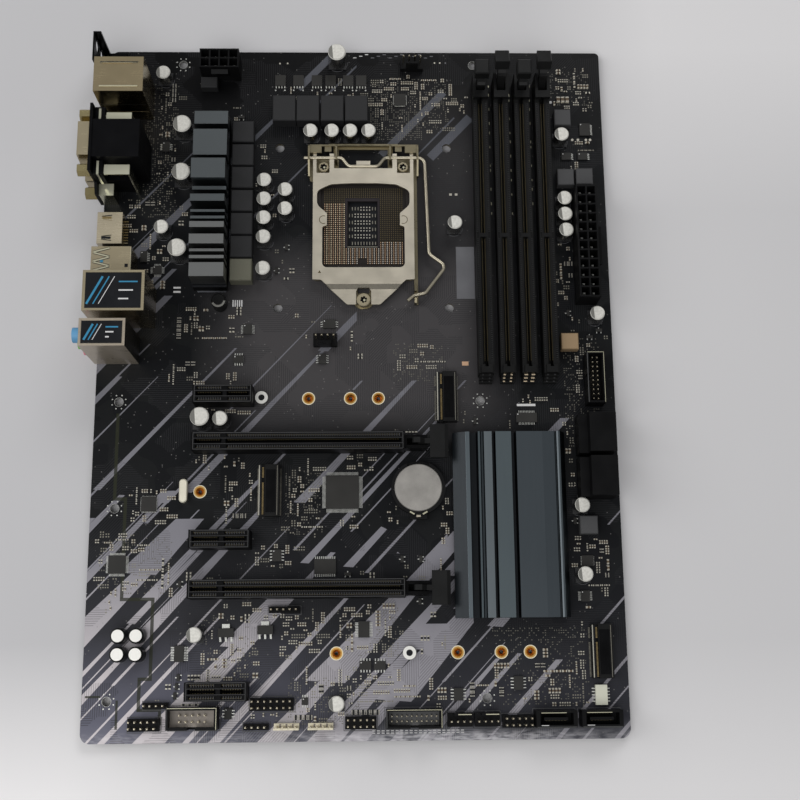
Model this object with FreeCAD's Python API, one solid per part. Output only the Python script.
"""Mainboard in the 12.0 x 8.8 inch format, as an assembly of separate parts.

Lengths are in millimetres. Every part is drawn in board coordinates: x from the rear connector
edge, y from the lower short edge, z up from the underside. It is then saved in the row frame,
whose origin is the datum fixing hole on the underside.
"""
import FreeCAD
import Part
import math
import os

V = FreeCAD.Vector
os.makedirs("parts", exist_ok=True)

# --- board -------------------------------------------------------------------------------
BOARD_X = 223.5
BOARD_Y = 304.8
TOP = 1.6                     # board thickness, so also the height of the component side
CORNER_R = 4.0
DATUM_X = 10.16
DATUM_Y = 16.51
FIX_R = 1.98                  # clearance hole for a 6-32 or M3 screw
FIX_X = (DATUM_X, 33.02, 165.1)
FIX_Y = (DATUM_Y, 95.25, 140.97, BOARD_Y - 6.35)
BASE_Z = -2.2                 # common plane of everything that stands out below
TAIL_R = 0.8

# --- layout: where the parts below are placed on a board of this length and width ---------------
LAYOUT_X = 223.5
LAYOUT_Y = 304.8
FRONT_STRIP = 201.0           # parts beyond this keep their distance to the front edge
UPPER_HALF = 147.0            # parts above this keep their distance to the top edge

# --- processor socket and its loading mechanism ---------------------------------------------
SOCKET_X = 115.0
SOCKET_Y = 220.2
COOLER_HALF = 37.5            # half of the 75 mm square cooler pattern
COOLER_R = 2.0
CLEAR = 0.3                   # gap kept between parts that swing past each other
RUN = 0.06                    # radial gap of a running fit
WIRE_R = 0.8
SHEET = 1.2                   # load plate thickness
FRAME_SHEET = 0.8
AXIS_Y = 31.2                 # lever axis, from the socket centre
AXIS_Z = 3.6                  # lever axis above the board
CRANK = 4.1                   # throw of the cranked middle of the lever
PLATE_Z = 3.6                 # underside of the load plate above the board
NOSE_DROP = 1.4
REAR_SCREW_X = 17.7
REAR_SCREW_Y = 27.3
NOSE_SCREW_Y = -34.9
REAR_HEAD_R = 2.4
NOSE_HEAD_R = 3.0
SHANK_R = 1.7
HOUSING_HALF = 21.2
NEST_HALF = HOUSING_HALF - 2.3
HOUSING_Y0 = -HOUSING_HALF - 0.2
HOUSING_Y1 = HOUSING_HALF - 0.4
PLATE_HALF = HOUSING_HALF + 1.1
FRAME_HALF = HOUSING_HALF + 2.7
LEVER_X = FRAME_HALF + 3.5         # straight arm of the lever beside the frame
NEST_FLOOR = 1.9
HOUSING_H = 3.3

# --- memory sockets ----------------------------------------------------------------------------
DIMM_X = 167.5
DIMM_PITCH = 9.3
DIMM_COUNT = 4
DIMM_HALF = 3.25
DIMM_Y1 = 289.0
DIMM_Y0 = DIMM_Y1 - 137.8
DIMM_H = 8.6
DIMM_GROOVE = 0.75
DIMM_KEY_Y = DIMM_Y0 + 62.1
DIMM_POST = 3.6
DIMM_POST_H = 10.0
DIMM_TOWER = 11.5
DIMM_TOWER_H = 11.0
LATCH_Y = DIMM_Y1 - 5.0
LATCH_Z = 3.6
LATCH_HALF = 1.7
LATCH_PIN_R = 0.8
LATCH_OPEN = 20.0
LATCH_TOP = 22.4

# --- expansion slots ---------------------------------------------------------------------------
SLOT_PITCH = 20.32
SLOT_X0 = 43.0
SLOT_HALF = 3.75
SLOT_H = 11.2
X1_LEN = 25.0
X16_LEN = 88.9
SLOT_KEY_X = 13.5
X1_ROWS = (1, 4, 7)
X16_ROWS = (3, 6)
CATCH_X = SLOT_X0 + X16_LEN + 7.6
CATCH_Z = 3.4
CATCH_HALF = 1.1
CATCH_PADDLE = 7.0

# --- card sockets -------------------------------------------------------------------------------
M2_EDGE_X = (151.2, BOARD_X - 10.1, 75.7)
M2_ROW_Y = (142.24, 34.9, 102.15)
M2_NUTS = ((60.0, 42.0, 30.0), (110.0, 60.0, 42.0, 30.0), (30.0,))
M2_STAND = 80.0
M2_HALF = 10.95
NUT_R = 1.9
NUT_BORE = 0.8


def box(x0, x1, y0, y1, z0, z1):
    """Block between two corners."""
    return Part.makeBox(x1 - x0, y1 - y0, z1 - z0, V(x0, y0, z0))


def cyl(x, y, z0, z1, r):
    """Upright cylinder."""
    return Part.makeCylinder(r, z1 - z0, V(x, y, z0))


def cyl_x(y, z, x0, x1, r):
    """Cylinder along x."""
    return Part.makeCylinder(r, x1 - x0, V(x0, y, z), V(1, 0, 0))


def cyl_y(x, z, y0, y1, r):
    """Cylinder along y."""
    return Part.makeCylinder(r, y1 - y0, V(x, y0, z), V(0, 1, 0))


def prism_xy(points, z0, z1):
    """Polygon in plan, extruded upwards."""
    ring = [V(x, y, z0) for x, y in points]
    return Part.Face(Part.makePolygon(ring + ring[:1])).extrude(V(0, 0, z1 - z0))


def prism_yz(points, x0, x1):
    """Side profile extruded along x."""
    ring = [V(x0, y, z) for y, z in points]
    return Part.Face(Part.makePolygon(ring + ring[:1])).extrude(V(x1 - x0, 0, 0))


def prism_xz(points, y0, y1):
    """Front profile extruded along y."""
    ring = [V(x, y0, z) for x, z in points]
    return Part.Face(Part.makePolygon(ring + ring[:1])).extrude(V(0, y1 - y0, 0))


def rounded(points, z0, z1):
    """Polygon in plan whose corners (x, y, radius) are rounded, extruded upwards."""
    ends = []
    for i, (x, y, r) in enumerate(points):
        corner = V(x, y, z0)
        before = V(points[i - 1][0], points[i - 1][1], z0) - corner
        after = V(points[(i + 1) % len(points)][0], points[(i + 1) % len(points)][1], z0) - corner
        before.normalize()
        after.normalize()
        if r == 0:
            ends.append((corner, None, corner))
            continue
        half = before.getAngle(after) / 2
        run = r / math.tan(half)
        middle = before + after
        middle.normalize()
        centre = corner + middle * (r / math.sin(half))
        ends.append((corner + before * run, centre - middle * r, corner + after * run))
    edges = []
    for i, (start, mid, end) in enumerate(ends):
        if mid is not None:
            edges.append(Part.Arc(start, mid, end).toShape())
        nearest = ends[(i + 1) % len(ends)][0]
        if end.distanceToPoint(nearest) > 1e-6:
            edges.append(Part.LineSegment(end, nearest).toShape())
    return Part.Face(Part.Wire(edges)).extrude(V(0, 0, z1 - z0))


def mirror_x(points):
    """Right half of an outline (x, y, radius), closed by its mirror image."""
    return points + [(-x, y, r) for x, y, r in reversed(points)]


def bevel_top(shape, z, size):
    """Small bevel along the edges that lie at height z."""
    edges = []
    for edge in shape.Edges:
        if all(abs(vertex.Point.z - z) < 1e-6 for vertex in edge.Vertexes):
            edges.append(edge)
    return shape.makeChamfer(size, edges)


def fuse(shapes):
    """One solid out of touching pieces."""
    return shapes[0].multiFuse(shapes[1:]).removeSplitter()


def settle(x, y):
    """How far a part laid out at (x, y) moves with the front edge and the top edge of the board."""
    return V(BOARD_X - LAYOUT_X if x > FRONT_STRIP else 0, BOARD_Y - LAYOUT_Y if y > UPPER_HALF else 0, 0)


def save(node, *solids, placed=False):
    """Moves the solids into the row frame and writes them as one node."""
    moved = []
    for solid in solids:
        copy = solid.copy()
        middle = solid.BoundBox.Center
        copy.translate(V(-DATUM_X, -DATUM_Y, 0) + (V() if placed else settle(middle.x, middle.y)))
        moved.append(copy)
    shape = moved[0] if len(moved) == 1 else Part.makeCompound(moved)
    shape.exportStep("parts/" + node + ".step")
    print(node, len(shape.Solids), round(shape.Volume, 1), shape.isValid())


# --- board -------------------------------------------------------------------------------
FIXINGS = [(FIX_X[0], FIX_Y[0]), (FIX_X[0], FIX_Y[1]), (FIX_X[0], FIX_Y[2]), (FIX_X[1], FIX_Y[3]),
           (FIX_X[2], FIX_Y[0]), (FIX_X[2], FIX_Y[2]), (FIX_X[2], FIX_Y[3])]
SOCKET_SCREWS = [(SOCKET_X - REAR_SCREW_X, SOCKET_Y + REAR_SCREW_Y),
                 (SOCKET_X + REAR_SCREW_X, SOCKET_Y + REAR_SCREW_Y),
                 (SOCKET_X, SOCKET_Y + NOSE_SCREW_Y)]


def nut_places():
    """Centres of the press-in nuts along the card rows."""
    return [(edge - reach, y) for edge, y, row in zip(M2_EDGE_X, M2_ROW_Y, M2_NUTS) for reach in row]


def board():
    outline = [(0, 0, CORNER_R), (BOARD_X, 0, CORNER_R), (BOARD_X, BOARD_Y, 2.0), (0, BOARD_Y, CORNER_R)]
    around = [cyl(x, y, 0, TOP, SHANK_R + CLEAR) for x, y in SOCKET_SCREWS]
    for sx in (-1, 1):
        for sy in (-1, 1):
            around.append(cyl(SOCKET_X + sx * COOLER_HALF, SOCKET_Y + sy * COOLER_HALF, 0, TOP, COOLER_R))
    for hole in around:
        hole.translate(settle(SOCKET_X, SOCKET_Y))
    holes = around + [cyl(x, y, 0, TOP, FIX_R) for x, y in FIXINGS]
    holes += [cyl(x, y, 0, TOP, NUT_R) for x, y in nut_places()]
    return rounded(outline, 0, TOP).cut(holes)


# --- processor socket -----------------------------------------------------------------------
def at_socket(shape):
    """From socket coordinates (centre, board surface) to board coordinates."""
    copy = shape.copy()
    copy.translate(V(SOCKET_X, SOCKET_Y, TOP))
    return copy


def socket_housing():
    body = box(-HOUSING_HALF, HOUSING_HALF, HOUSING_Y0, HOUSING_Y1, 0, HOUSING_H)
    nest = box(-NEST_HALF, NEST_HALF, -NEST_HALF, NEST_HALF, NEST_FLOOR, HOUSING_H)
    well = box(-6.8, 6.8, -9.8, 11.6, 0, NEST_FLOOR)
    finger = []
    for x in (-15.0, 15.0):
        finger.append(box(x - 3.0, x + 3.0, HOUSING_Y0, -NEST_HALF, NEST_FLOOR + 0.5, HOUSING_H))
    return at_socket(body.cut([nest, well] + finger))


def ear(x0, x1, y0):
    """Upright ear of the frame with the bearing hole of the lever."""
    sheet = prism_yz([(y0, 0), (37.2, 0), (37.2, 4.6), (36.2, 5.6), (29.6, 5.6), (y0, 2.6)], x0, x1)
    return sheet.cut(cyl_x(AXIS_Y, AXIS_Z, x0, x1, WIRE_R + RUN))


def socket_frame():
    """Stiffening frame: hidden beside the plate, open behind it, with folded ears and tabs."""
    outline = [(4.6, -38.2, 4.0), (4.6, -25.2, 0), (PLATE_HALF - 0.4, -25.2, 1.0),
               (PLATE_HALF - 0.4, 21.0, 0), (FRAME_HALF, 21.0, 1.0), (FRAME_HALF, 38.0, 1.5)]
    sheet = rounded([(-x, y, r) for x, y, r in reversed(outline)] + outline, 0, FRAME_SHEET)
    rail = box(FRAME_HALF - 1.7, FRAME_HALF, -36.4, 22.0, 0, FRAME_SHEET)
    bridges = [box(PLATE_HALF - 2.0, FRAME_HALF - 1.0, y - 2.0, y + 2.0, 0, FRAME_SHEET)
               for y in (-22.0, 0.0)]
    opening = box(-HOUSING_HALF - CLEAR, HOUSING_HALF + CLEAR, HOUSING_Y0 - CLEAR, HOUSING_Y1 + CLEAR,
                  0, FRAME_SHEET)
    holes = [cyl(x - SOCKET_X, y - SOCKET_Y, 0, FRAME_SHEET, SHANK_R + 0.1) for x, y in SOCKET_SCREWS]
    windows = [box(-11.0, 11.0, 25.0, 36.4, 0, FRAME_SHEET), box(-2.6, 2.6, -31.2, -26.6, 0, FRAME_SHEET)]
    windows += [box(x - 4.4, x + 4.4, 31.8, 36.4, 0, FRAME_SHEET) for x in (-REAR_SCREW_X, REAR_SCREW_X)]
    keeper = prism_yz([(-36.4, 0), (-27.2, 0), (-27.2, 2.4), (-31.3, 5.2), (-31.3, 2.3), (-34.4, 2.3),
                       (-34.4, 5.2), (-36.4, 4.0)], FRAME_HALF - 1.7, FRAME_HALF - 0.7)
    back = box(-15.5, 15.5, 37.2, 38.0, 0, 3.4)
    base = fuse([sheet, rail] + bridges).cut([opening] + windows + holes)
    parts = [base, keeper, back]
    for side in (-1, 1):
        outer = sorted((side * (FRAME_HALF - 0.1), side * (FRAME_HALF + 0.7)))
        inner = sorted((side * 11.6, side * 12.4))
        wide = sorted((side * 18.6, side * (FRAME_HALF - 0.1)))
        narrow = sorted((side * 14.2, side * 17.2))
        parts.append(ear(outer[0], outer[1], 23.0))
        parts.append(ear(inner[0], inner[1], 28.4))
        parts.append(box(min(outer[0], inner[0]), max(outer[1], inner[1]), 36.4, 37.2, 0, 4.6))
        parts.append(box(wide[0], wide[1], 33.3, 36.4, 4.0, 4.6))
        parts.append(box(narrow[0], narrow[1], 34.0, 36.4, 3.6, 4.2))
    return at_socket(fuse(parts))


def load_plate():
    half = [(3.3, -36.9, 0.6), (7.2, -36.9, 1.5), (PLATE_HALF - 3.7, -26.0, 0.8),
            (PLATE_HALF, -25.9, 0.5), (PLATE_HALF, 30.1, 0), (PLATE_HALF - 1.5, 30.1, 0),
            (PLATE_HALF - 1.5, 23.6, 0.4), (15.0, 23.6, 0.4), (15.0, 30.1, 0), (13.0, 30.1, 0),
            (13.0, 25.8, 0.4)]
    notch = [(-x, y, r) for x, y, r in reversed(half)]
    outline = [(3.3, -30.8, 0)] + half + notch + [(-3.3, -30.8, 0), (-2.4, -29.4, 0), (2.4, -29.4, 0)]
    plan = rounded(outline, 0, 8.0)
    low = PLATE_Z - NOSE_DROP
    side = prism_yz([(-40.0, low), (-29.6, low), (-27.6, PLATE_Z), (32.0, PLATE_Z),
                     (32.0, PLATE_Z + SHEET), (-28.0, PLATE_Z + SHEET), (-30.0, low + SHEET),
                     (-40.0, low + SHEET)], -30.0, 30.0)
    edge = PLATE_HALF - 4.2
    window = rounded(mirror_x([(8.0, -20.4, 0), (edge, -20.4, 2.2), (edge, -1.6, 1.0),
                               (edge - 2.0, -1.0, 0.5), (edge - 2.0, 4.6, 1.0),
                               (edge + 2.4, 8.6, 4.0), (edge + 2.4, 15.2, 3.0),
                               (edge - 3.6, 18.2, 6.0), (6.0, 18.7, 0)]), 0, 8.0)
    sheet = plan.common(side).cut(window)
    parts = [sheet, box(-3.1, 3.1, 24.6, 25.8, 1.1, PLATE_Z + SHEET),
             box(-3.1, 3.1, 24.6, 30.4, 1.1, 1.1 + SHEET)]
    ears = ((-PLATE_HALF, 1.5 - PLATE_HALF), (-15.0, -13.0), (13.0, 15.0), (PLATE_HALF - 1.5, PLATE_HALF))
    for x0, x1 in ears:
        ring = cyl_x(AXIS_Y, AXIS_Z, x0, x1, 2.1).cut(cyl_x(AXIS_Y, AXIS_Z, x0, x1, WIRE_R + RUN))
        parts.append(ring.cut(box(x0, x1, 28.0, 34.0, AXIS_Z, 8.0)))
    return at_socket(fuse(parts))


def wire_path(points):
    """Line through points (x, y), each inner corner rounded by its own radius."""
    edges = []
    last = V(points[0][0], points[0][1], AXIS_Z)
    for i in range(1, len(points) - 1):
        corner = V(points[i][0], points[i][1], AXIS_Z)
        before = V(points[i - 1][0], points[i - 1][1], AXIS_Z) - corner
        after = V(points[i + 1][0], points[i + 1][1], AXIS_Z) - corner
        before.normalize()
        after.normalize()
        half = before.getAngle(after) / 2
        run = points[i][2] / math.tan(half)
        middle = before + after
        middle.normalize()
        start = corner + before * run
        end = corner + after * run
        mid = corner + middle * (points[i][2] / math.sin(half) - points[i][2])
        edges.append(Part.LineSegment(last, start).toShape())
        edges.append(Part.Arc(start, mid, end).toShape())
        last = end
    edges.append(Part.LineSegment(last, V(points[-1][0], points[-1][1], AXIS_Z)).toShape())
    return Part.Wire(edges)


def load_lever():
    near = AXIS_Y - CRANK
    path = wire_path([(-26.4, AXIS_Y), (-9.6, AXIS_Y, 2.4), (-6.6, near, 2.4), (6.6, near, 2.4),
                      (9.6, AXIS_Y, 2.4), (LEVER_X, AXIS_Y, 3.4), (LEVER_X + 1.4, -14.0, 3.0),
                      (LEVER_X + 8.8, -19.6, 2.6), (LEVER_X - 0.4, -31.9, 3.0),
                      (LEVER_X - 5.4, -33.0, 2.4), (LEVER_X - 8.2, -35.4)])
    ring = Part.Wire(Part.makeCircle(WIRE_R, V(-26.4, AXIS_Y, AXIS_Z), V(1, 0, 0)))
    return at_socket(path.makePipeShell([ring], True, False))


def screw(x, y, r, z0, z1):
    """Socket screw with a hexagonal recess, its shank down through board and backplate."""
    head = bevel_top(cyl(x, y, TOP + z0, TOP + z1, r), TOP + z1, 0.3)
    shank = cyl(x, y, -1.4, TOP + z0, SHANK_R)
    corners = [(x + 1.3 * math.cos(a * math.pi / 3), y + 1.3 * math.sin(a * math.pi / 3)) for a in range(6)]
    return fuse([head, shank]).cut(prism_xy(corners, TOP + z1 - 1.1, TOP + z1))


def socket_screws():
    rear = [screw(x, y, REAR_HEAD_R, FRAME_SHEET, 2.9) for x, y in SOCKET_SCREWS[:2]]
    return rear + [screw(SOCKET_SCREWS[2][0], SOCKET_SCREWS[2][1], NOSE_HEAD_R, FRAME_SHEET, 4.2)]


def backplate():
    outline = [(-24, -42, 6), (24, -42, 6), (30, -20, 3), (30, 24, 3), (24, 36, 4), (-24, 36, 4),
               (-30, 24, 3), (-30, -20, 3)]
    window = rounded([(-12, -13, 2), (12, -13, 2), (12, 13, 2), (-12, 13, 2)], 0, -BASE_Z)
    plate = rounded(outline, 0, -BASE_Z).cut(window)
    plate.translate(V(SOCKET_X, SOCKET_Y, BASE_Z))
    return plate.cut([cyl(x, y, BASE_Z, 0, SHANK_R) for x, y in SOCKET_SCREWS])


# --- memory sockets ----------------------------------------------------------------------------
def dimm_x(i):
    return DIMM_X + DIMM_PITCH * i


def dimm_slot(x):
    top = TOP + DIMM_H
    tower = DIMM_Y1 - DIMM_TOWER
    body = [box(x - DIMM_HALF, x + DIMM_HALF, DIMM_Y0, DIMM_Y1, TOP, top),
            box(x - 2.4, x + 2.4, DIMM_Y0, DIMM_Y0 + DIMM_POST, top, TOP + DIMM_POST_H),
            box(x - DIMM_HALF, x + DIMM_HALF, tower, DIMM_Y1, top, TOP + DIMM_TOWER_H)]
    body += [box(x - 2.8, x + 2.8, DIMM_Y0 - i, DIMM_Y0 - i + 1, TOP, TOP + 8.2 - 2.0 * i) for i in (1, 2, 3)]
    groove_y0 = DIMM_Y0 + DIMM_POST - 1.0
    mouth = [(x - DIMM_GROOVE, top - 0.8), (x + DIMM_GROOVE, top - 0.8), (x + 1.5, top), (x - 1.5, top)]
    key0 = DIMM_KEY_Y - 0.9
    key1 = DIMM_KEY_Y + 0.9
    cuts = [box(x - DIMM_GROOVE, x + DIMM_GROOVE, groove_y0, key0, TOP + 2.4, TOP + DIMM_POST_H),
            box(x - DIMM_GROOVE, x + DIMM_GROOVE, key1, LATCH_Y, TOP + 2.4, TOP + DIMM_POST_H),
            prism_xz(mouth, groove_y0 + 1.0, key0),
            prism_xz(mouth, key1, tower),
            box(x - LATCH_HALF - CLEAR, x + LATCH_HALF + CLEAR, LATCH_Y - 3.2, DIMM_Y1, TOP + 0.6,
                TOP + DIMM_TOWER_H),
            cyl_x(LATCH_Y, TOP + LATCH_Z, x - DIMM_HALF, x + DIMM_HALF, LATCH_PIN_R + RUN)]
    cuts += [box(x + side * 2.5 - 0.35, x + side * 2.5 + 0.35, DIMM_Y0 + 6, tower - 2, top - 0.5, top)
             for side in (-1, 1)]
    return fuse(body).cut(cuts)


def dimm_latch(x, degrees):
    """Latch with thumb head, card hook and lifting toe, turned outwards by degrees."""
    z = TOP + LATCH_Z
    y = LATCH_Y
    profile = [(y - 1.5, z - 1.4), (y + 1.4, z - 1.4), (y + 1.8, z), (y + 1.9, z + 9.0),
               (y + 3.4, z + 13.6), (y - 0.9, z + 13.6), (y - 1.9, z + 12.4), (y - 3.1, z + 11.8),
               (y - 3.1, z + 10.4), (y - 1.8, z + 9.6)]
    stem = prism_yz(profile, x - LATCH_HALF, x + LATCH_HALF)
    head = prism_yz([(y - 0.9, z + 13.6), (y + 5.2, z + 13.6), (y + 6.0, z + 14.6),
                     (y + 6.0, TOP + LATCH_TOP), (y - 0.9, TOP + LATCH_TOP)], x - 3.1, x + 3.1)
    toe = prism_yz([(y - 6.4, z - 1.0), (y - 1.0, z - 1.2), (y - 1.0, z), (y - 6.4, z - 0.2)], x - 0.45,
                   x + 0.45)
    pin = cyl_x(y, z, x - DIMM_HALF + 0.2, x + DIMM_HALF - 0.2, LATCH_PIN_R)
    latch = fuse([stem, bevel_top(head, TOP + LATCH_TOP, 0.5), toe, pin])
    latch.rotate(V(x, y, z), V(1, 0, 0), -degrees)
    return latch


# --- expansion slots ----------------------------------------------------------------------------
def slot_y(row):
    return SLOT_PITCH * row


def slot_body(row, length):
    """Card-edge slot with its key rib and two rows of contact chambers."""
    y = slot_y(row)
    top = TOP + SLOT_H
    x1 = SLOT_X0 + length
    key = SLOT_X0 + SLOT_KEY_X
    body = box(SLOT_X0, x1, y - SLOT_HALF, y + SLOT_HALF, TOP, top)
    cuts = [box(SLOT_X0 + 1.4, key - 0.85, y - 0.95, y + 0.95, TOP + 3.4, top),
            box(key + 0.85, x1 - 1.4, y - 0.95, y + 0.95, TOP + 3.4, top)]
    for side in (-1, 1):
        cuts.append(box(SLOT_X0 + 1.8, key - 1.2, y + side * 2.35 - 0.55, y + side * 2.35 + 0.55,
                        top - 1.2, top))
        cuts.append(box(key + 1.2, x1 - 1.8, y + side * 2.35 - 0.55, y + side * 2.35 + 0.55, top - 1.2, top))
    return body.cut(cuts)


def x16_slot(row):
    y = slot_y(row)
    x1 = SLOT_X0 + X16_LEN
    tail = box(x1, CATCH_X + 2.2, y - 2.9, y + 2.9, TOP, TOP + 7.4)
    gap = box(x1 + 1.2, CATCH_X + 2.2, y - CATCH_HALF - CLEAR, y + CATCH_HALF + CLEAR, TOP + 0.8, TOP + 7.4)
    bearing = cyl_y(CATCH_X, TOP + CATCH_Z, y - 2.9, y + 2.9, LATCH_PIN_R + RUN)
    return fuse([slot_body(row, X16_LEN), tail]).cut([gap, bearing])


def x16_catch(row):
    """Swinging catch with a wide paddle and a hook over the card's lug."""
    y = slot_y(row)
    x = CATCH_X
    z = TOP + CATCH_Z
    stem = prism_xz([(x - 1.4, z - 1.5), (x + 1.4, z - 1.5), (x + 3.6, z + 4.0), (x + 3.6, z + 6.0),
                     (x + 1.0, z + 6.0), (x - 1.0, z + 8.8), (x - 3.8, z + 8.8), (x - 4.3, z + 7.6),
                     (x - 2.1, z + 7.0), (x - 1.6, z + 4.6)],
                    y - CATCH_HALF, y + CATCH_HALF)
    paddle = prism_xz([(x + 3.2, z + 4.0), (x + 10.9, z + 3.6), (x + 10.9, z + 5.2),
                       (x + 9.4, z + 6.0), (x + 3.2, z + 6.0)],
                      y - CATCH_PADDLE, y + CATCH_PADDLE)
    pin = cyl_y(x, z, y - 2.7, y + 2.7, LATCH_PIN_R)
    return fuse([stem, paddle, pin])


# --- card sockets -------------------------------------------------------------------------------
def card_socket(edge, y):
    """Low side-entry socket; the card edge stops at x = edge."""
    x0 = edge - 2.4
    body = box(x0, x0 + 6.0, y - M2_HALF, y + M2_HALF, TOP, TOP + 4.2)
    lip = box(x0 - 2.6, x0, y - M2_HALF, y + M2_HALF, TOP, TOP + 1.6)
    slit = box(x0, edge + 0.2, y - 10.0, y + 10.0, TOP + 2.1, TOP + 3.0)
    ramp = prism_xz([(x0, TOP + 3.0), (x0 + 1.2, TOP + 3.0), (x0, TOP + 3.9)], y - 10.0, y + 10.0)
    return fuse([body, lip]).cut([slit, ramp])


def card_nut(x, y):
    """Threaded nut pressed flush into the board, with a countersunk mouth."""
    cone = Part.makeCone(NUT_BORE, 1.5, 0.7, V(x, y, TOP - 0.6))
    return cyl(x, y, 0, TOP + 0.1, NUT_R).cut([cyl(x, y, 0, TOP, NUT_BORE), cone])


def card_standoff(edge, y):
    x = edge - M2_STAND
    body = bevel_top(cyl(x, y, TOP, TOP + 2.6, 2.75), TOP + 2.6, 0.25)
    return body.cut(cyl(x, y, TOP + 0.4, TOP + 2.6, NUT_BORE))


# --- rear connectors ------------------------------------------------------------------------------
def port(x, depth, y0, y1, z0, z1, tongue):
    """Opening in a rear face with an optional contact tongue, as cuts and additions."""
    hole = box(x, x + depth, y0, y1, z0, z1)
    if tongue is None:
        return hole
    return hole.cut(box(x + 1.2, x + depth, y0 + 1.0, y1 - 1.0, tongue - 0.9, tongue + 0.9))


def keyboard_stack():
    body = box(-0.6, 20.6, 271.4, 287.4, TOP, TOP + 28.0)
    ridge = [box(3.0, 16.0, y, y + 0.8, TOP + 28.0, TOP + 28.3) for y in (273.6, 284.2)]
    cuts = [port(-0.6, 9.0, 272.9, 285.9, TOP + z, TOP + z + 5.6, TOP + z + 3.2) for z in (1.6, 8.4)]
    ring = cyl_x(279.4, TOP + 21.0, -0.6, 5.0, 4.9).cut(cyl_x(279.4, TOP + 21.0, 0.0, 5.0, 4.1))
    return fuse([body] + ridge).cut(cuts + [ring])


def screw_place(y, z):
    return (249.8 + y, TOP + z)


def video_housing():
    """Black moulded body of the stacked analogue and digital video ports."""
    upper = box(0.0, 20.0, 241.2, 258.4, TOP, TOP + 28.2)
    lower = box(0.0, 14.0, 236.7, 263.4, TOP, TOP + 12.5)
    insert = prism_yz([(242.2, TOP + 20.4), (257.4, TOP + 20.4), (256.2, TOP + 26.6),
                       (243.4, TOP + 26.6)], -4.8, 0.0)
    slab = prism_yz([(238.6, TOP + 4.2), (261.0, TOP + 4.2), (261.0, TOP + 9.8), (238.6, TOP + 9.8)],
                    -4.8, 0.0)
    return fuse([upper, lower, insert, slab])


def d_shell(outer, wall, x0, x1):
    """Hollow metal shell around a pin insert, from an outline of (y, z) corners."""
    cy = sum(y for y, z in outer) / len(outer)
    cz = sum(z for y, z in outer) / len(outer)
    inner = [(y - math.copysign(wall, y - cy), z - math.copysign(wall, z - cz)) for y, z in outer]
    return prism_yz(outer, x0, x1).cut(prism_yz(inner, x0, x1))


def video_flange():
    """Black face plate with the two port openings."""
    corners = [(230.2, TOP + 0.6), (269.8, TOP + 0.6), (269.8, TOP + 13.4), (265.6, TOP + 15.6),
               (265.6, TOP + 28.6), (235.0, TOP + 28.6), (235.0, TOP + 15.6), (230.2, TOP + 13.4)]
    upper_in = [(241.6, TOP + 19.8), (258.0, TOP + 19.8), (256.8, TOP + 27.2), (242.8, TOP + 27.2)]
    lower_in = [(237.9, TOP + 3.5), (261.7, TOP + 3.5), (261.7, TOP + 10.5), (237.9, TOP + 10.5)]
    plate = prism_yz(corners, -1.2, 0.0)
    return plate.cut([prism_yz(upper_in, -1.2, 0.0), prism_yz(lower_in, -1.2, 0.0)])


def video_shells():
    """Metal rims of the two ports."""
    upper = d_shell([(241.0, TOP + 19.2), (258.6, TOP + 19.2), (257.4, TOP + 27.8),
                     (242.2, TOP + 27.8)], 0.5, -6.2, -1.2)
    lower = d_shell([(237.3, TOP + 2.9), (262.3, TOP + 2.9), (262.3, TOP + 11.1), (237.3, TOP + 11.1)],
                    0.5, -6.2, -1.2)
    return upper, lower


def video_straps():
    """Ground straps beside the upper port and board locks beside the lower one."""
    straps = []
    for y0, y1 in ((260.3, 263.4), (235.0, 239.4)):
        arm = box(4.8, 15.6, y0, y1, TOP + 23.0, TOP + 23.8)
        neck = box(0.0, 5.4, y0 + 0.9, y1 - 0.9, TOP + 21.8, TOP + 23.0)
        cheek = box(1.8, 2.8, y0 - 0.4, y1 + 1.2, TOP + 14.0, TOP + 25.0)
        straps.append(fuse([arm, neck, cheek, box(14.8, 15.6, y0, y1, TOP, TOP + 23.8)]))
    locks = [box(0.0, 6.4, y0, y0 + 5.4, TOP, TOP + 11.0) for y0 in (264.2, 230.6)]
    return straps + locks


def hex_nuts():
    places = [screw_place(s * 12.5, 22.8) for s in (-1, 1)] + [screw_place(s * 16.6, 7.0) for s in (-1, 1)]
    nuts = []
    for y, z in places:
        ring = [(y + 2.9 * math.cos(a * math.pi / 3), z + 2.9 * math.sin(a * math.pi / 3)) for a in range(6)]
        nuts.append(prism_yz(ring, -6.4, -1.2).cut(cyl_x(y, z, -6.4, -1.2, 1.4)))
    return nuts


def hdmi_port():
    body = box(-1.2, 9.7, 210.3, 224.7, TOP, TOP + 6.3)
    hole = prism_yz([(211.4, TOP + 2.2), (212.8, TOP + 1.0), (222.2, TOP + 1.0), (223.6, TOP + 2.2),
                     (223.6, TOP + 5.3), (211.4, TOP + 5.3)], -1.2, 8.0)
    tongue = box(0.0, 8.0, 213.2, 221.8, TOP + 2.6, TOP + 3.8)
    return body.cut(hole.cut(tongue))


def usb_port():
    body = box(-1.2, 15.8, 192.6, 206.0, TOP, TOP + 14.6)
    upper = port(-1.2, 9.0, 193.3, 205.3, TOP + 8.2, TOP + 13.8, TOP + 11.8)
    slot = cyl_x(196.3, TOP + 4.0, -1.2, 7.0, 1.6).fuse([cyl_x(202.3, TOP + 4.0, -1.2, 7.0, 1.6),
                                                        box(-1.2, 7.0, 196.3, 202.3, TOP + 2.4, TOP + 5.6)])
    return body.cut([upper, slot.cut(box(-0.4, 7.0, 196.8, 201.8, TOP + 3.6, TOP + 4.4))])


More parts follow.
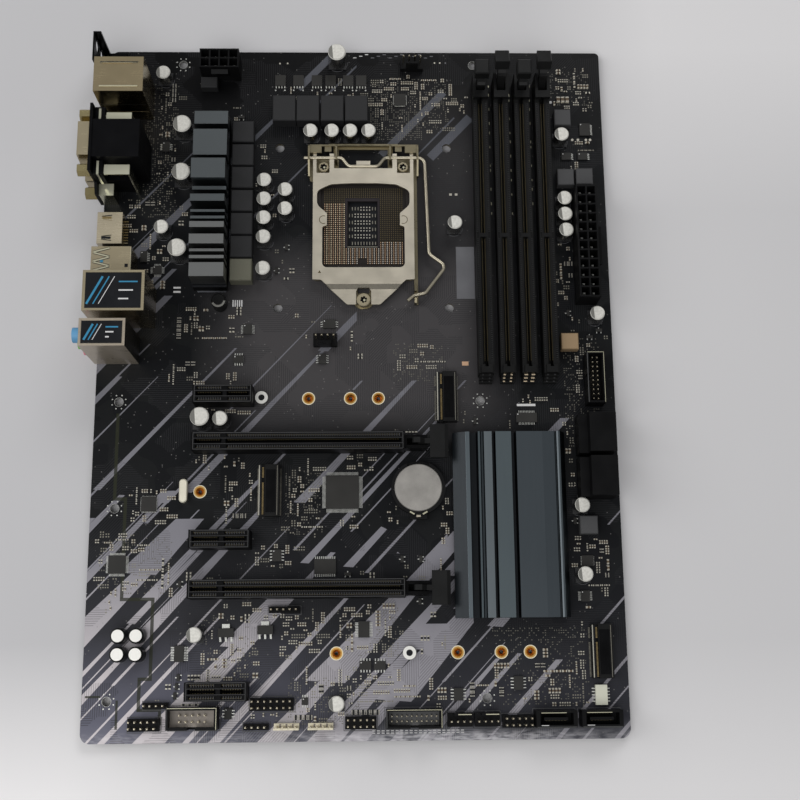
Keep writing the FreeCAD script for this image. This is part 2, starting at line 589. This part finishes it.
def network_stack():
    body = box(-1.0, 24.5, 173.7, 191.1, TOP, TOP + 27.6)
    rj_mouth = prism_yz([(176.0, TOP + 16.4), (188.8, TOP + 16.4), (188.8, TOP + 23.4),
                         (185.6, TOP + 23.4), (185.6, TOP + 25.6), (179.2, TOP + 25.6),
                         (179.2, TOP + 23.4), (176.0, TOP + 23.4)], -1.0, 13.0)
    cuts = [port(-1.0, 9.0, 175.9, 188.9, TOP + z, TOP + z + 5.6, TOP + z + 3.4) for z in (1.6, 8.8)]
    label = box(0.2, 23.3, 174.7, 190.1, TOP + 27.4, TOP + 27.6)
    return body.cut(cuts + [rj_mouth, label])


AUDIO_Y = 163.6
AUDIO_Z = (5.6, 15.6, 25.6)
AUDIO_R = 1.85


def audio_block():
    body = box(-0.9, 18.0, 157.8, 169.4, TOP, TOP + 31.0)
    label = box(0.1, 17.2, 158.6, 168.6, TOP + 30.8, TOP + 31.0)
    return body.cut([cyl_x(AUDIO_Y, TOP + z, -0.9, 14.0, 3.2) for z in AUDIO_Z] + [label])


def audio_barrel(z):
    """Coloured jack insert with the plug bore."""
    sleeve = cyl_x(AUDIO_Y, TOP + z, -4.2, 14.0, 3.2)
    return sleeve.cut(cyl_x(AUDIO_Y, TOP + z, -4.2, 12.0, AUDIO_R))


ANTENNA_Y = 299.4
ANTENNA_Z = (5.6, 14.6)
ANTENNA_R = 2.9


def antenna_bracket():
    """Folded plate outside the board edge for two aerial sockets."""
    plate = box(-3.4, -2.6, 290.0, 303.6, TOP, TOP + 20.5)
    plate = plate.cut([cyl_x(ANTENNA_Y, TOP + z, -3.4, -2.6, ANTENNA_R) for z in ANTENNA_Z])
    side = box(-3.4, 0.0, 302.8, 303.6, TOP, TOP + 20.5)
    foot = box(-3.4, 8.0, 290.0, 303.6, TOP, TOP + 0.8)
    return fuse([plate, side, foot])


# --- power and drive connectors --------------------------------------------------------------------
CELL = 4.2
CELL_HOLE = 3.5
BLADE_HALF = 0.5              # half of a power pin
PIN_PITCH = 2.54
PIN_HALF = 0.3                # half of a 0.6 mm square header pin
PIN_TOP = 7.8                 # top of an open header's pins above the board


def power_body(x0, y0, nx, ny, wall, height):
    """Moulded power header: nx by ny cells, each with its own well and pin."""
    lx = nx * CELL + 2 * wall
    ly = ny * CELL + 2 * wall
    body = box(x0, x0 + lx, y0, y0 + ly, TOP, TOP + height)
    pad = (CELL - CELL_HOLE) / 2
    wells = []
    for i in range(nx):
        for j in range(ny):
            cx = x0 + wall + i * CELL + pad
            cy = y0 + wall + j * CELL + pad
            wells.append(box(cx, cx + CELL_HOLE, cy, cy + CELL_HOLE, TOP + 3.0, TOP + height))
    pins = pin_grid(x0 + lx / 2, y0 + ly / 2, nx, ny, CELL, BLADE_HALF, 2.0, height - 4.3)
    return fuse([body.cut(wells)] + pins)


def main_power():
    ramp = prism_xz([(217.2, TOP + 4.0), (218.9, TOP + 9.6), (217.2, TOP + 10.6)], 199.4, 216.6)
    return fuse([power_body(208.0, 183.8, 2, 12, 0.4, 12.8), ramp])


def processor_power():
    ramp = prism_yz([(290.7, TOP + 4.0), (289.0, TOP + 9.6), (290.7, TOP + 10.6)], 47.2, 54.6)
    return fuse([power_body(42.2, 290.7, 4, 2, 0.3, 12.8), ramp])


def drive_port_cut(x0, x1, y0, y1, z0, z1, axis):
    """L-keyed drive opening with its contact blade left standing."""
    hole = box(x0, x1, y0, y1, z0, z1)
    if axis == "x":
        blade = box(x0, x1 - 0.8, y0 + 1.6, y1 - 2.2, (z0 + z1) / 2 - 0.6, (z0 + z1) / 2 + 0.6)
        return hole.cut(blade)
    blade = box(x0 + 1.6, x1 - 2.2, (y0 + y1) / 2 - 0.6, (y0 + y1) / 2 + 0.6, z0, z1 - 0.8)
    return hole.cut(blade)


def drive_port_side(y0):
    """Two drive ports, one above the other, facing the front edge."""
    body = box(205.6, 220.6, y0, y0 + 16.6, TOP, TOP + 14.4)
    cuts = [drive_port_cut(212.6, 220.6, y0 + 1.6, y0 + 15.0, TOP + z, TOP + z + 4.6, "x")
            for z in (1.6, 8.4)]
    step = box(205.6, 209.4, y0, y0 + 16.6, TOP + 9.0, TOP + 14.4)
    return body.cut(cuts + [step])


def drive_port_up(x0):
    body = box(x0, x0 + 16.6, 5.0, 11.7, TOP, TOP + 8.4)
    return body.cut(drive_port_cut(x0 + 1.6, x0 + 15.0, 6.0, 10.7, TOP + 2.0, TOP + 8.4, "z"))


# --- headers ----------------------------------------------------------------------------------------
def pin_grid(cx, cy, nx, ny, pitch, half, z0, z1):
    """Square pins on a grid centred on (cx, cy)."""
    pins = []
    for i in range(nx):
        for j in range(ny):
            x = cx + (i - (nx - 1) / 2) * pitch
            y = cy + (j - (ny - 1) / 2) * pitch
            pins.append(box(x - half, x + half, y - half, y + half, TOP + z0, TOP + z1))
    return pins


def fan_header(x, y, turned):
    """Four-pin header base with its guide wall on one long side."""
    base = box(x, x + 10.2, y, y + 5.6, TOP, TOP + 3.0)
    wall_y = y + 4.6 if turned else y
    wall = box(x + 2.4, x + 7.8, wall_y, wall_y + 1.0, TOP + 3.0, TOP + 8.2)
    pin_y = y + 2.3 if turned else y + 3.3
    pins = pin_grid(x + 5.1, pin_y, 4, 1, PIN_PITCH, PIN_HALF, 2.0, PIN_TOP + 0.5)
    return fuse([base, wall] + pins)


def box_header(x0, y0, lx, ly, height, wall):
    body = box(x0, x0 + lx, y0, y0 + ly, TOP, TOP + height)
    return body.cut(box(x0 + wall, x0 + lx - wall, y0 + wall, y0 + ly - wall, TOP + 2.2, TOP + height))


def keyed_header(x0, y0, lx, ly, height, wall, side):
    """Boxed header with a polarising gap in one long wall."""
    body = box_header(x0, y0, lx, ly, height, wall)
    cx = x0 + lx / 2
    cy = y0 + ly / 2
    if side == "x":
        gap = box(x0, x0 + wall, cy - 1.6, cy + 1.6, TOP + 2.6, TOP + height)
    else:
        gap = box(cx - 1.6, cx + 1.6, y0, y0 + wall, TOP + 2.6, TOP + height)
    return body.cut(gap)


def pin_base(x0, y0, nx, ny):
    """Low open header with its pins."""
    lx = nx * PIN_PITCH
    ly = ny * PIN_PITCH
    base = box(x0, x0 + lx, y0, y0 + ly, TOP, TOP + 2.5)
    return fuse([base] + pin_grid(x0 + lx / 2, y0 + ly / 2, nx, ny, PIN_PITCH, PIN_HALF, 1.5, PIN_TOP))


# --- cooling ----------------------------------------------------------------------------------------
FIN_RUNS = [(268.0, 262.0, 16.0), (258.6, 246.6, 18.0), (243.4, 234.4, 22.0), (232.5, 230.9, 17.0),
            (227.0, 223.8, 22.0), (220.7, 219.6, 20.0), (217.8, 216.6, 20.0), (214.6, 212.0, 22.0),
            (209.0, 204.7, 22.0), (203.1, 201.9, 20.0), (200.2, 198.8, 20.0), (197.0, 190.9, 20.0)]


CHIPSET_X0 = CATCH_X + 12.9
CHIPSET_X1 = 200.0


def power_heatsink():
    """Extruded bar with fins of several heights across its length."""
    root = TOP + 8.0
    end = FIN_RUNS[-1][1]
    profile = [(FIN_RUNS[0][0], TOP + 2.6)]
    for i, (high, low, height) in enumerate(FIN_RUNS):
        profile += [(high, TOP + height), (low, TOP + height)]
        if i + 1 < len(FIN_RUNS):
            profile += [(low, root), (FIN_RUNS[i + 1][0], root)]
    profile += [(end, root), (end - 1.1, root), (end - 1.1, TOP + 2.6)]
    return prism_yz(profile, 41.3, 55.9)


def chipset_heatsink():
    """Low finned cover; the ribs run along the board, and its broad face fills what they leave."""
    top = 8.2
    left = [(0, 3.0), (0, 4.6), (5.4, top - 0.4), (7.0, top - 0.4), (7.6, 4.4), (10.0, 4.4),
            (10.6, top), (11.4, top), (11.9, top - 0.7), (12.6, top - 0.7), (13.1, top),
            (16.4, top), (16.8, 4.8), (17.6, 4.8), (18.0, top), (24.6, top), (25.2, 4.4),
            (26.2, 4.4), (26.8, top)]
    right = [(4.8, top), (4.5, top - 0.6), (4.1, top - 0.6), (3.8, top), (2.4, top), (0, 4.6), (0, 3.0)]
    ribs = [(CHIPSET_X0 + dx, TOP + dz) for dx, dz in left]
    ribs += [(CHIPSET_X1 - dx, TOP + dz) for dx, dz in right]
    return prism_xz(ribs, 48.6, 126.0)


def heatsink_pads():
    """Transfer pads between the heatsinks and what they cool."""
    return [box(42.4, 54.8, 190.0, 266.0, TOP, TOP + 2.6),
            box(CHIPSET_X0 + 11.6, CHIPSET_X1 - 12.0, 74.0, 98.0, TOP, TOP + 3.0)]


# --- small components --------------------------------------------------------------------------------
CAN_8 = [(34.8, 265.1), (35.0, 242.5), (34.2, 207.4), (103.3, 299.9), (46.0, 132.7)]
CAN_6 = [(25.4, 290.8), (26.8, 217.6), (71.3, 239.5), (71.3, 230.7), (71.3, 221.9), (71.3, 213.1),
         (71.3, 198.7), (80.6, 235.0), (80.6, 226.1), (91.5, 262.9), (101.0, 262.9), (109.2, 262.9),
         (117.4, 262.9), (155.2, 219.6), (203.8, 261.3), (204.0, 231.0), (204.0, 223.6),
         (204.2, 216.2), (216.2, 178.0), (206.2, 94.7), (206.3, 66.0), (54.3, 132.3), (45.9, 42.7),
         (103.7, 15.0)]
CAN_AUDIO = [(15.1, 42.6), (22.4, 42.6), (15.1, 35.2), (22.4, 35.2), (52.4, 184.1)]
CAN_8_SIZE = (4.0, 10.0)
CAN_6_SIZE = (3.15, 8.0)


def can(x, y, r, height, crimp):
    """Electrolytic can on its square base, necked once above the base."""
    body = bevel_top(cyl(x, y, TOP + 0.8, TOP + height, r), TOP + height, crimp)
    return fuse([box(x - r, x + r, y - r, y + r, TOP, TOP + 0.8), body])


def sleeved_can(x, y):
    """Radial can in a plastic sleeve that laps over its rim."""
    return bevel_top(cyl(x, y, TOP, TOP + 7.6, 3.15), TOP + 7.6, 0.5)


def choke(x, y, lx, ly, height):
    body = box(x - lx / 2, x + lx / 2, y - ly / 2, y + ly / 2, TOP, TOP + height)
    return bevel_top(body, TOP + height, 0.35)


CHOKE_COLUMN = [262.8, 251.8, 241.1, 230.2, 219.5, 208.9, 198.3]
CHOKE_ROW = [79.7, 90.3, 101.2, 112.0]
CHOKE_SMALL = [(205.0, 270.9, 7.6), (205.4, 242.2, 7.6), (213.8, 242.5, 7.6), (209.2, 86.7, 7.6),
               (204.3, 166.3, 7.2), (45.6, 287.7, 5.2)]
CHIPS = [(105.8, 101.5, 14.0, 14.2, 1.6), (12.3, 71.8, 7.2, 7.6, 1.1), (24.5, 97.0, 6.4, 6.4, 0.9),
         (98.6, 70.4, 9.0, 6.2, 1.1), (114.7, 44.5, 4.6, 6.6, 1.1), (131.7, 281.1, 5.6, 5.6, 0.9),
         (58.0, 43.6, 6.4, 3.6, 1.7), (74.1, 44.6, 6.4, 3.6, 1.7), (39.1, 35.3, 3.9, 6.6, 1.6),
         (153.3, 18.1, 3.9, 4.9, 1.5), (178.0, 22.4, 3.9, 5.4, 1.5), (208.6, 72.0, 5.0, 4.4, 0.9)]
BATTERY_X = CATCH_X - 1.7
BATTERY_Y = 102.9
CELL_R = 10.0
HOLDER_R = 11.4


def battery_holder():
    """Round cup with a contact foot and a release gap."""
    bed = cyl(BATTERY_X, BATTERY_Y, TOP + 0.9, TOP + 3.8, CELL_R + 0.15)
    cup = cyl(BATTERY_X, BATTERY_Y, TOP, TOP + 3.8, HOLDER_R).cut(bed)
    gap = box(BATTERY_X - 4.6, BATTERY_X + 4.6, BATTERY_Y + 6.0, BATTERY_Y + 12.0, TOP + 2.0, TOP + 3.8)
    foot = box(BATTERY_X - 3.6, BATTERY_X + 3.6, BATTERY_Y - 13.2, BATTERY_Y - 10.6, TOP, TOP + 2.6)
    return fuse([cup.cut(gap), foot])


def coin_cell():
    rim = cyl(BATTERY_X, BATTERY_Y, TOP + 0.95, TOP + 1.5, 8.8)
    return fuse([rim, bevel_top(cyl(BATTERY_X, BATTERY_Y, TOP + 1.5, TOP + 4.15, CELL_R), TOP + 4.15, 0.3)])


def crystal():
    """Oval can with rounded ends."""
    x = 39.1
    outline = [(x - 1.7, 97.2, 1.6), (x + 1.7, 97.2, 1.6), (x + 1.7, 107.2, 1.6), (x - 1.7, 107.2, 1.6)]
    return bevel_top(rounded(outline, TOP, TOP + 3.4), TOP + 3.4, 0.4)


def flash_chip():
    return box(209.4, 214.2, 13.4, 21.4, TOP, TOP + 1.9)


TAIL_COLUMNS = [(12.0, 275.0), (12.0, 284.0), (16.0, 236.0), (16.0, 262.0), (6.0, 214.0),
                (6.0, 199.0), (20.0, 177.0), (20.0, 188.0), (14.0, 160.0), (14.0, 167.0),
                (44.6, 294.9), (57.2, 294.9), (210.6, 187.0), (214.8, 231.6), (210.0, 101.0),
                (210.0, 130.0), (192.0, 8.4), (213.0, 8.4), (40.0, 9.8), (52.0, 9.8), (126.0, 9.0),
                (144.0, 9.0)]


def solder_tails():
    """Trimmed tails of the through-board parts, one short stub each."""
    places = list(TAIL_COLUMNS)
    for i in range(DIMM_COUNT):
        places += [(dimm_x(i), 156.0), (dimm_x(i), 276.0)]
    for row in X1_ROWS:
        places += [(SLOT_X0 + 3.0, slot_y(row)), (SLOT_X0 + X1_LEN - 3.0, slot_y(row))]
    for row in X16_ROWS:
        places += [(SLOT_X0 + 3.0, slot_y(row)), (SLOT_X0 + X16_LEN - 3.0, slot_y(row))]
    return [cyl(x, y, BASE_Z, 0, TAIL_R) for x, y in places]


save("board", board(), placed=True)
save("socket_housing", socket_housing())
save("socket_frame", socket_frame())
save("load_plate", load_plate())
save("load_lever", load_lever())
save("socket_screws", *socket_screws())
save("backplate", backplate())
for i in range(DIMM_COUNT):
    save("memory_slot_" + str(i + 1), dimm_slot(dimm_x(i)))
    save("memory_latch_" + str(i + 1), dimm_latch(dimm_x(i), LATCH_OPEN * (i % 2)))
save("short_slots", *[slot_body(row, X1_LEN) for row in X1_ROWS])
for i, row in enumerate(X16_ROWS):
    save("long_slot_" + str(i + 1), x16_slot(row))
    save("long_slot_catch_" + str(i + 1), x16_catch(row))
save("card_sockets", *[card_socket(edge, y) for edge, y in zip(M2_EDGE_X, M2_ROW_Y)], placed=True)
save("card_nuts", *[card_nut(x, y) for x, y in nut_places()], placed=True)
save("card_standoffs", *[card_standoff(M2_EDGE_X[i], M2_ROW_Y[i]) for i in range(2)], placed=True)
save("keyboard_usb_stack", keyboard_stack())
save("video_housing", video_housing())
save("video_flange", video_flange())
save("video_shells", *video_shells())
save("video_straps", *video_straps())
save("video_hex_nuts", *hex_nuts())
save("hdmi_port", hdmi_port())
save("usb_port", usb_port())
save("network_usb_stack", network_stack())
save("audio_block", audio_block())
for name, z in zip(("pink", "green", "blue"), AUDIO_Z):
    save("audio_jack_" + name, audio_barrel(z))
save("antenna_bracket", antenna_bracket())
save("main_power_header", main_power())
save("processor_power_header", processor_power())
save("drive_ports_side", drive_port_side(98.0), drive_port_side(116.4))
save("drive_ports_up", drive_port_up(183.9), drive_port_up(202.4))
save("fan_headers", fan_header(132.1, 295.2, False), fan_header(93.2, 164.9, False),
     fan_header(148.5, 5.4, True),
     fan_header(159.6, 5.4, True))
save("box_headers", keyed_header(210.4, 138.2, 7.6, 22.4, 8.8, 0.9, "x"),
     keyed_header(123.6, 5.2, 22.6, 7.5, 8.8, 0.9, "y"),
     keyed_header(35.6, 5.4, 20.4, 8.8, 8.8, 1.1, "y"))
save("pin_headers", pin_base(19.4, 4.8, 5, 2), pin_base(107.0, 4.8, 5, 2), pin_base(170.9, 4.8, 5, 2),
     pin_base(75.6, 51.4, 5, 1), pin_base(68.4, 12.4, 7, 2), pin_base(25.2, 13.6, 4, 1),
     pin_base(66.0, 4.9, 4, 1))
save("lighting_headers", fuse([pin_base(78.3, 4.9, 4, 1), box(78.3, 88.46, 4.9, 5.7, TOP, TOP + 6.0)]),
     fuse([pin_base(92.1, 4.9, 4, 1), box(92.1, 102.26, 4.9, 5.7, TOP, TOP + 6.0)]))
save("power_heatsink", power_heatsink())
save("chipset_heatsink", chipset_heatsink())
save("heatsink_pads", *heatsink_pads())
save("cans_large", *[can(x, y, CAN_8_SIZE[0], CAN_8_SIZE[1], 0.5) for x, y in CAN_8])
save("cans_small", *[can(x, y, CAN_6_SIZE[0], CAN_6_SIZE[1], 0.4) for x, y in CAN_6])
save("cans_sleeved", *[sleeved_can(x, y) for x, y in CAN_AUDIO])
save("power_chokes", *[choke(61.6, y, 9.6, 9.9, 6.6) for y in CHOKE_COLUMN])
save("input_chokes", *[choke(x, 274.2, 10.2, 12.2, 6.6) for x in CHOKE_ROW])
save("small_chokes", *[choke(x, y, 7.4, ly, 4.6) for x, y, ly in CHOKE_SMALL])
save("logic_chips",
     *[box(x - lx / 2, x + lx / 2, y - ly / 2, y + ly / 2, TOP, TOP + h) for x, y, lx, ly, h in CHIPS])
save("flash_chip", flash_chip())
save("crystal_can", crystal())
save("battery_holder", battery_holder())
save("coin_cell", coin_cell())
save("solder_tails", *solder_tails())
